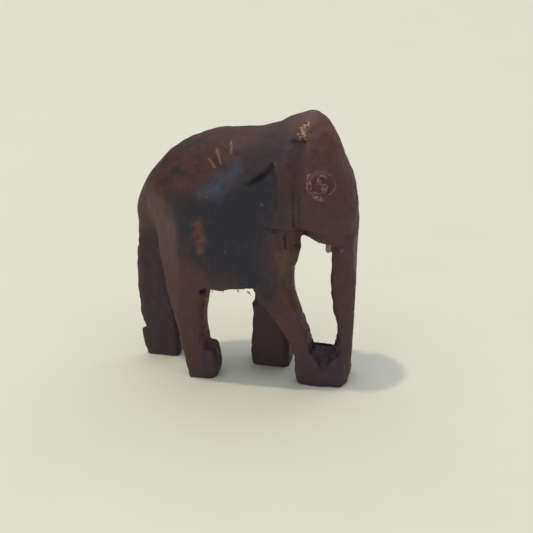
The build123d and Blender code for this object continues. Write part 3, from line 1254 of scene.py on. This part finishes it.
        # Painted sheen on the near thigh's rear facet, brighter higher up.
        strip = within(facing[:, 0], -0.62, -0.38, 0.10) * (p[:, 0] < -9) * (p[:, 2] > 4) * (p[:, 2] < 56)
        strip = wood.neighbour_mean(wood.neighbour_mean(strip * (p[:, 1] < -6)))
        wood.mark(Mark.POLISH, strip * (0.1 + 0.9 * smooth_step(26.0, 44.0, p[:, 2])))
        # Painted shade on the far side, low down and stronger towards the tail.
        hidden = smooth_step(-3.0, 1.0, p[:, 1]) * (1 - smooth_step(20.0, 60.0, p[:, 2]))
        hidden = hidden * (0.85 - 0.5 * smooth_step(-10.0, 2.0, p[:, 0]))
        wood.mark(Mark.PAINTED_SHADE, np.maximum(rear * (1 - strip), hidden))
        # Painted light on the front faces of the near fore leg.
        shin = within(p[:, 0], 8.0, 20.5, 1.0) * within(p[:, 2], 14.0, 39.0, 2.0)
        wood.mark(Mark.RUBBED_AND_PAINTED_LIGHT, 0.35 * shin * smooth_step(0.35, 0.7, facing[:, 0]) * (p[:, 1] < -2))
        # Painted shade on the back's upward faces, deeper towards the tail.
        upward = smooth_step(0.30, 0.80, facing[:, 2]) * (p[:, 2] > 48)
        upward = upward * (1 - smooth_step(9.0, 14.0, p[:, 0]))
        wood.mark(Mark.GRIME_AND_SHADE, upward * (0.26 + 0.36 * smooth_step(12.0, 20.0, -p[:, 0])))
        # Painted light on the head, stronger towards its top.
        head = smooth_step(14.0, 19.0, p[:, 0]) * smooth_step(50.0, 66.0, p[:, 2])
        wood.mark(Mark.RUBBED_AND_PAINTED_LIGHT, head * (0.35 + 0.3 * smooth_step(64.0, 74.0, p[:, 2])))
        # The front of the near hind foot darker low down.
        toe = within(p[:, 0], -9.0, -2.0, 1.5) * (1 - smooth_step(7.0, 11.0, p[:, 2])) * (p[:, 1] < 0)
        wood.mark(Mark.PAINTED_SHADE, toe)

    def build(self) -> "Skin":
        """Carve the block and dress it.

        Returns:
            The wood's surface, for the small pieces.
        """
        piece = self.blank()
        wood = Carving(piece)
        for mark in Mark:
            wood.mark(mark, np.zeros(len(wood.points)))
        wood.relax(4)
        self.round_rump(wood)
        self.cut_shoulders(wood)
        self.cut_facets(wood)
        self.cut_thighs(wood)
        self.cut_flank(wood)
        self.cut_ears(wood)
        wood.relax(2)
        self.cut_throat(wood)
        self.cut_crown(wood)
        self.cut_arch(wood)
        self.cut_foot(wood)
        self.scratch(wood)
        self.stain(wood)
        self.paint_light_and_shade(wood)
        low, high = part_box("carved_body")
        wood.finish(low, high)
        dress(piece, StainedHardwood().material())
        place(piece, ["carved_body"])
        return Skin(piece)


# ---- small pieces --------------------------------------------------------------------------


class Skin:
    """The carved wood's surface, for laying small pieces on it."""

    def __init__(self, piece: Any) -> None:
        """Read the surface of a piece.

        Args:
            piece: The carved wood.
        """
        mesh = piece.data
        flat = np.empty(len(mesh.vertices) * 3, np.float32)
        mesh.vertices.foreach_get("co", flat)
        verts = [Vector(row) for row in (flat.reshape(-1, 3) / MM).tolist()]
        self.tree = BVHTree.FromPolygons(verts, [tuple(face.vertices) for face in mesh.polygons])

    def hit(self, spot: Vector, facing: Vector) -> tuple[Vector, Vector]:
        """Point and normal where a line against the facing direction meets the wood.

        Args:
            spot: Point near the surface, in millimetres.
            facing: Direction out of the wood.

        Returns:
            The point on the wood and the wood's normal there.
        """
        start_above, reach = 4.0, 9.0
        found, normal, _, _ = self.tree.ray_cast(spot + facing * start_above, -facing, reach)
        return (spot, facing) if found is None else (found, normal)


def even_path(corners: Sequence[Sequence[float]], count: int) -> list[tuple[float, float]]:
    """Smooth curve through the corners, as evenly numbered points.

    Args:
        corners: Points that the curve passes through.
        count: Number of points wanted.

    Returns:
        Points on a Catmull-Rom curve.
    """
    pts = [np.array(c, float) for c in corners]
    pts = [2 * pts[0] - pts[1]] + pts + [2 * pts[-1] - pts[-2]]
    runs = len(pts) - 3
    out = []
    for step in range(count):
        at = step / (count - 1) * runs
        i = min(int(at), runs - 1)
        t = at - i
        a, b, c, d = pts[i:i + 4]
        curve = 2 * b + (c - a) * t + (2 * a - 5 * b + 4 * c - d) * t * t + (3 * b - a - 3 * c + d) * t ** 3
        out.append((float(0.5 * curve[0]), float(0.5 * curve[1])))
    return out


@dataclass
class Shell:
    """Points and faces being gathered for one piece, in millimetres."""

    verts: list[Vector]
    faces: list[tuple[int, ...]]

    def tube(self, rings: Sequence[Sequence[Vector]]) -> None:
        """Join equal rings into a closed tube with capped ends.

        Args:
            rings: The rings in order, each as its points.
        """
        start = len(self.verts)
        around = len(rings[0])
        for ring in rings:
            self.verts.extend(ring)
        for i in range(len(rings) - 1):
            first = start + i * around
            second = first + around
            for j in range(around):
                k = (j + 1) % around
                self.faces.append((first + j, first + k, second + k, second + j))
        self.faces.append(tuple(start + j for j in reversed(range(around))))
        last = start + (len(rings) - 1) * around
        self.faces.append(tuple(last + j for j in range(around)))

    def piece(self, name: str) -> Any:
        """Turn the shell into a mesh object with its faces turned outward.

        Args:
            name: The object's name.

        Returns:
            The new object.
        """
        made = new_piece(name, [v * MM for v in self.verts], self.faces)
        work = bmesh.new()
        work.from_mesh(made.data)
        bmesh.ops.recalc_face_normals(work, faces=work.faces)
        work.to_mesh(made.data)
        work.free()
        return made


@dataclass
class Eyes:
    """The inlaid eyes: a broken ring of lac and a hooked bead in its middle, one pair a side.

    Each strand is half its width, and points across and up from the eye's middle.
    """

    centre: Row = (22.3, 9.45, 58.6)
    facing: Row = (0.41, 0.90, 0.12)
    proud: float = 0.22              # how far the lac stands out of the wood
    strand_sides: int = 10
    arcs: tuple[tuple[float, Outline], ...] = (
        (0.46, ((-2.5, 3.1), (-3.1, 2.5), (-3.6, 1.0), (-3.6, -0.8), (-2.6, -1.8))),
        (0.38, ((-3.2, 1.6), (-2.8, 0.2), (-2.9, -1.0))),
        (0.50, ((-2.5, -1.7), (-1.9, -2.7), (-0.7, -3.4), (0.5, -4.2))),
        (0.34, ((-1.6, -2.2), (-0.4, -2.9), (0.3, -3.5))),
        (0.26, ((3.4, 1.0), (3.6, 0.2), (3.4, -0.8), (2.4, -2.0), (1.2, -2.6))),
        (0.14, ((1.7, 2.7), (2.2, 2.5), (2.6, 2.2))),
    )
    hook: tuple[tuple[float, Outline], ...] = (
        (0.46, ((1.4, 1.2), (1.0, 2.1), (0.3, 2.5), (-0.6, 2.2), (-0.8, 1.3), (-0.2, 0.6), (0.4, 0.0))),
        (0.34, ((0.6, -1.5), (-0.6, -1.9), (-1.6, -1.7), (-2.5, -1.6))),
    )
    bead: Row = (0.70, -0.65, 1.15)  # across, up and radius
    bead_height: float = 0.42
    bead_sides: int = 16
    bead_tilts_deg: tuple[int, ...] = (-60, -30, 0, 18, 36, 54, 72, 86)

    def axes(self, side: Side) -> tuple[Vector, Vector, Vector, Vector]:
        """Stand on one eye.

        Args:
            side: Side of the head.

        Returns:
            The eye's middle and the directions across it, up it and out of the wood.
        """
        out = Vector(mirror(self.facing, side)).normalized()
        across = Vector((0, 0, 1)).cross(out).normalized() * -side.value
        up = out.cross(across).normalized()
        up = up if up.z > 0 else -up
        return Vector(mirror(self.centre, side)), across, up, out

    def lay(self, shell: Shell, skin: Skin, side: Side, half_width: float, path: Outline, seed: int) -> None:
        """Lay one strand of lac along a path round the eye.

        Args:
            shell: Shell that takes it.
            skin: The wood under it.
            side: Side of the head.
            half_width: Half the strand's width.
            path: Points across and up from the eye's middle.
            seed: Number that picks its lumps.
        """
        draw = np.random.default_rng(seed)
        middle, along, up, out = self.axes(side)
        spots = [skin.hit(middle + along * u + up * v, out) for u, v in even_path(path, 6 + 5 * len(path))]
        rings = []
        for i, (spot, normal) in enumerate(spots):
            ahead = spots[min(i + 1, len(spots) - 1)][0] - spots[max(i - 1, 0)][0]
            across = normal.cross(ahead).normalized()
            end = math.sin(math.pi * min(1.0, max(0.06, (i + 0.4) / len(spots)))) ** 0.35
            wide = half_width * end * draw.uniform(0.78, 1.2)
            high = self.proud * end * draw.uniform(0.7, 1.2)
            ring = []
            for step in range(self.strand_sides):
                angle = 2 * math.pi * step / self.strand_sides
                lift = high * math.sin(angle) if math.sin(angle) > 0 else 0.35 * math.sin(angle)
                ring.append(spot + across * wide * math.cos(angle) + normal * lift)
            rings.append(ring)
        shell.tube(rings)

    def bead_dome(self, shell: Shell, skin: Skin, side: Side, seed: int) -> None:
        """Press the bead's round body into the middle of the eye.

        Args:
            shell: Shell that takes it.
            skin: The wood under it.
            side: Side of the head.
            seed: Number that picks its lumps.
        """
        draw = np.random.default_rng(seed)
        middle, along, up, out = self.axes(side)
        across, high, radius = self.bead
        lumps = draw.uniform(0.86, 1.12, self.bead_sides)
        rings = []
        for tilt in self.bead_tilts_deg:
            level = math.sin(math.radians(tilt))
            spread = math.cos(math.radians(tilt))
            ring = []
            for j in range(self.bead_sides):
                turn = 2 * math.pi * j / self.bead_sides
                wide = radius * spread * (lumps[j] + lumps[j - 1]) / 2
                u = across + wide * math.cos(turn)
                v = high + wide * math.sin(turn)
                spot, _ = skin.hit(middle + along * u + up * v, out)
                ring.append(spot + out * level * self.bead_height)
            rings.append(ring)
        shell.tube(rings)

    def build(self, skin: Skin) -> None:
        """Make ring and bead on each side.

        Args:
            skin: The wood that they are set into.
        """
        lac = WornLac().material()
        for side in Side:
            ring = Shell([], [])
            bead = Shell([], [])
            for shell, strands, seed in ((ring, self.arcs, 200), (bead, self.hook, 300)):
                for number, (half_width, path) in enumerate(strands, seed + 20 * side.value):
                    self.lay(shell, skin, side, half_width, path, number)
            self.bead_dome(bead, skin, side, 340 + side.value)
            for shell, part in ((ring, "ring"), (bead, "bead")):
                piece = shell.piece(f"{side.word}_eye_{part}_lac")
                dress(piece, lac)
                place(piece, [f"{side.word}_eye_{part}"])


@dataclass(frozen=True)
class Peg:
    """One tusk peg: the middle of its inner end, the way it points, its radius and its length."""

    foot: Row
    aim: Row
    radius: float
    length: float
    seed: int


@dataclass
class TuskStubs:
    """The two tusk pegs, broken off: the right one flush, the left one a short ragged splinter."""

    around: int = 16
    flush: Peg = Peg((26.95, -5.0, 40.15), (0.2, -0.8, -0.6), 0.55, 0.85, 5)
    hanging: Peg = Peg((24.2, 3.3, 42.6), (-0.29, 0.24, -1.0), 1.1, 8.6, 6)
    profile: tuple[tuple[float, float], ...] = (      # share of the length, share of the radius
        (0.0, 1.0), (0.35, 1.0), (0.7, 0.97), (0.9, 0.9), (1.0, 0.72), (0.97, 0.35), (0.9, 0.1),
    )
    torn_from: float = 0.85          # share of the length where the break starts

    def stump(self, peg: Peg) -> Shell:
        """Tapered peg with a torn end.

        Args:
            peg: Its place and size.

        Returns:
            The closed shell.
        """
        draw = np.random.default_rng(peg.seed)
        aim = Vector(peg.aim).normalized()
        side = aim.orthogonal().normalized()
        other = aim.cross(side)
        torn = draw.uniform(-0.22, 0.28, self.around)
        rings = []
        for share, wide in self.profile:
            ring = []
            for j in range(self.around):
                turn = 2 * math.pi * j / self.around
                reach = peg.length * share + (torn[j] * peg.radius * 1.5 if share > self.torn_from else 0.0)
                spread = peg.radius * wide * (1 + 0.35 * torn[j - 3])
                ring.append(Vector(peg.foot) + aim * reach
                            + side * spread * math.cos(turn) + other * spread * math.sin(turn))
            rings.append(ring)
        shell = Shell([], [])
        shell.tube(rings)
        return shell

    def build(self) -> None:
        """Make both stubs where their CAD pegs are."""
        bone = BrokenBone().material()
        stained = BrokenBone("stained_bone", "80685C", "5C4440").material()
        for side, peg, finish in ((Side.RIGHT, self.flush, stained), (Side.LEFT, self.hanging, bone)):
            piece = self.stump(peg).piece(f"{side.word}_tusk_stub_bone")
            dress(piece, finish)
            place(piece, [f"{side.word}_tusk_stub"])


@dataclass
class TornFibres:
    """Fibres of raw wood that the saw left standing on the edges of the openings."""

    roots: tuple[tuple[Row, Row, float], ...] = (     # foot, direction and length
        ((-8.2, -9.4, 24.2), (0.9, -0.2, -0.3), 0.9), ((-8.5, -8.6, 21.6), (0.9, -0.3, -0.6), 0.7),
        ((-8.9, -7.6, 18.0), (1.0, 0.0, 0.5), 0.5), ((-8.9, -6.6, 14.4), (0.8, 0.0, 0.7), 0.8),
        ((-8.8, -6.0, 11.6), (0.9, -0.2, 0.5), 0.9), ((-8.0, -5.6, 9.4), (0.6, -0.2, 0.8), 0.7),
        ((-5.6, -11.2, 27.9), (0.3, 0.0, -1.0), 0.7), ((-2.8, -11.2, 28.2), (0.1, 0.0, -1.0), 0.5),
        ((1.0, -11.2, 28.5), (-0.3, 0.0, -1.0), 0.6), ((3.9, -11.0, 28.0), (0.5, 0.0, -1.0), 0.7),
        ((23.8, -5.8, 41.3), (-0.4, -0.1, -0.9), 0.6), ((24.3, -5.2, 40.7), (-0.3, -0.2, -1.0), 0.8),
    )
    each: int = 2                    # fibres at a root
    thickness: float = 0.13
    flatness: float = 1.6            # a fibre's width over its thickness
    buried: float = 0.35             # how deep a fibre starts in the wood
    steps: int = 5
    sides: int = 6

    def fibre(self, root: Row, aim: Row, length: float, draw: np.random.Generator) -> list[list[Vector]]:
        """One thin bent splinter that tapers to a point.

        Args:
            root: Its foot.
            aim: Its direction.
            length: Its length.
            draw: Source of random numbers.

        Returns:
            Its rings, from foot to tip.
        """
        base = Vector(root) + Vector(draw.normal(0, 0.18, 3))
        way = (Vector(aim) + Vector(draw.normal(0, 0.22, 3))).normalized()
        bend = Vector(draw.normal(0, 0.25, 3))
        side = way.orthogonal().normalized()
        other = way.cross(side)
        reach = length * draw.uniform(0.7, 1.2)
        rings = []
        for step in range(self.steps + 1):
            t = step / self.steps
            spot = base - way * self.buried + way * (reach + self.buried) * t + bend * t * t * reach
            wide = self.thickness * (1 - 0.85 * t) * draw.uniform(0.8, 1.2)
            ring = []
            for turn in range(self.sides):
                angle = 2 * math.pi * turn / self.sides
                broad = wide * self.flatness
                ring.append(spot + side * broad * math.cos(angle) + other * wide * math.sin(angle))
            rings.append(ring)
        return rings

    def build(self) -> None:
        """Make every fibre, all in one piece."""
        draw = np.random.default_rng(77)
        shell = Shell([], [])
        for root, aim, length in self.roots:
            for _ in range(self.each):
                shell.tube(self.fibre(root, aim, length, draw))
        piece = shell.piece("torn_fibres")
        dress(piece, RawFibre().material())
        place(piece, [])


# ---- studio --------------------------------------------------------------------------------


@dataclass(frozen=True)
class Lamp:
    """One rectangular lamp: place and size in metres, power in watts and linear colour."""

    name: str
    spot: Row
    size: tuple[float, float]
    power: float
    colour: Row

    def hang(self, target: Row) -> None:
        """Hang the lamp so that it faces a target.

        Args:
            target: The place that it lights, in metres.
        """
        light = bpy.data.lights.new(self.name, "AREA")
        light.shape = "RECTANGLE"
        light.size, light.size_y = self.size
        light.energy = self.power
        light.color = self.colour
        holder = bpy.data.objects.new(self.name, light)
        holder.location = self.spot
        holder.rotation_euler = (Vector(target) - holder.location).to_track_quat("-Z", "Y").to_euler()
        bpy.context.scene.collection.objects.link(holder)


@dataclass
class Studio:
    """Pale floor, soft overhead light and the camera."""

    turn_deg: float = 12.0           # camera swung from the right side towards the face
    rise_deg: float = 25.0
    distance_mm: float = 395.5
    aim_mm: Row = (6.27, 0.0, 30.7)
    lens_mm: float = 101.3
    sensor_mm: float = 36.0
    floor_half: float = 1.5          # metres
    lit: Row = (0.0, 0.0, 0.035)     # middle of the carving, in metres
    lamps: tuple[Lamp, ...] = (
        Lamp("warm_lamp", (-0.448, -0.13, 1.93), (0.080, 0.080), 11.4, (1.0, 0.89, 0.68)),
        Lamp("ceiling_glow", (0.0, 0.3, 1.5), (3.0, 3.0), 24.6, (0.94, 0.99, 1.0)),
        Lamp("window", (-0.36, -1.15, 0.30), (0.35, 0.5), 1.2, (0.72, 0.86, 1.0)),
    )
    room_colour: Row = (0.94, 0.99, 1.0)
    room_strength: float = 0.29

    def build(self) -> None:
        """Make the floor, the lights and the camera."""
        self.floor()
        self.lights()
        self.camera()

    def floor(self) -> None:
        """Lay the board under the feet."""
        half = self.floor_half
        corners = [(-half, -half, 0), (half, -half, 0), (half, half, 0), (-half, half, 0)]
        board = new_piece("floor_board", corners, [(0, 1, 2, 3)])
        dress(board, PaleBoard().material())

    def lights(self) -> None:
        """A small warm lamp high overhead, a wide cool ceiling, a pale window and a dim room."""
        for lamp in self.lamps:
            lamp.hang(self.lit)
        world = bpy.data.worlds.new("room")
        bpy.context.scene.world = world
        world.use_nodes = True
        background = world.node_tree.nodes["Background"]
        background.inputs["Color"].default_value = (*self.room_colour, 1.0)
        background.inputs["Strength"].default_value = self.room_strength

    def camera(self) -> None:
        """Stand the camera where it looks down at the animal's right side."""
        turn = math.radians(self.turn_deg)
        rise = math.radians(self.rise_deg)
        back = Vector((math.sin(turn) * math.cos(rise), -math.cos(turn) * math.cos(rise), math.sin(rise)))
        data = bpy.data.cameras.new("camera")
        data.lens = self.lens_mm
        data.sensor_width = self.sensor_mm
        data.clip_start = 0.01
        holder = bpy.data.objects.new("camera", data)
        holder.location = (Vector(self.aim_mm) + back * self.distance_mm) * MM
        holder.rotation_euler = (-back).to_track_quat("-Z", "Y").to_euler()
        bpy.context.scene.collection.objects.link(holder)
        bpy.context.scene.camera = holder


def main() -> None:
    """Build every piece in order."""
    logging.basicConfig(level=logging.INFO, format="%(name)s %(message)s")
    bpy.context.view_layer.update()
    bpy.context.scene.view_settings.view_transform = "Standard"
    Studio().build()
    skin = CarvedBody().build()
    Eyes().build(skin)
    TuskStubs().build()
    TornFibres().build()


if __name__ == "__main__":
    main()
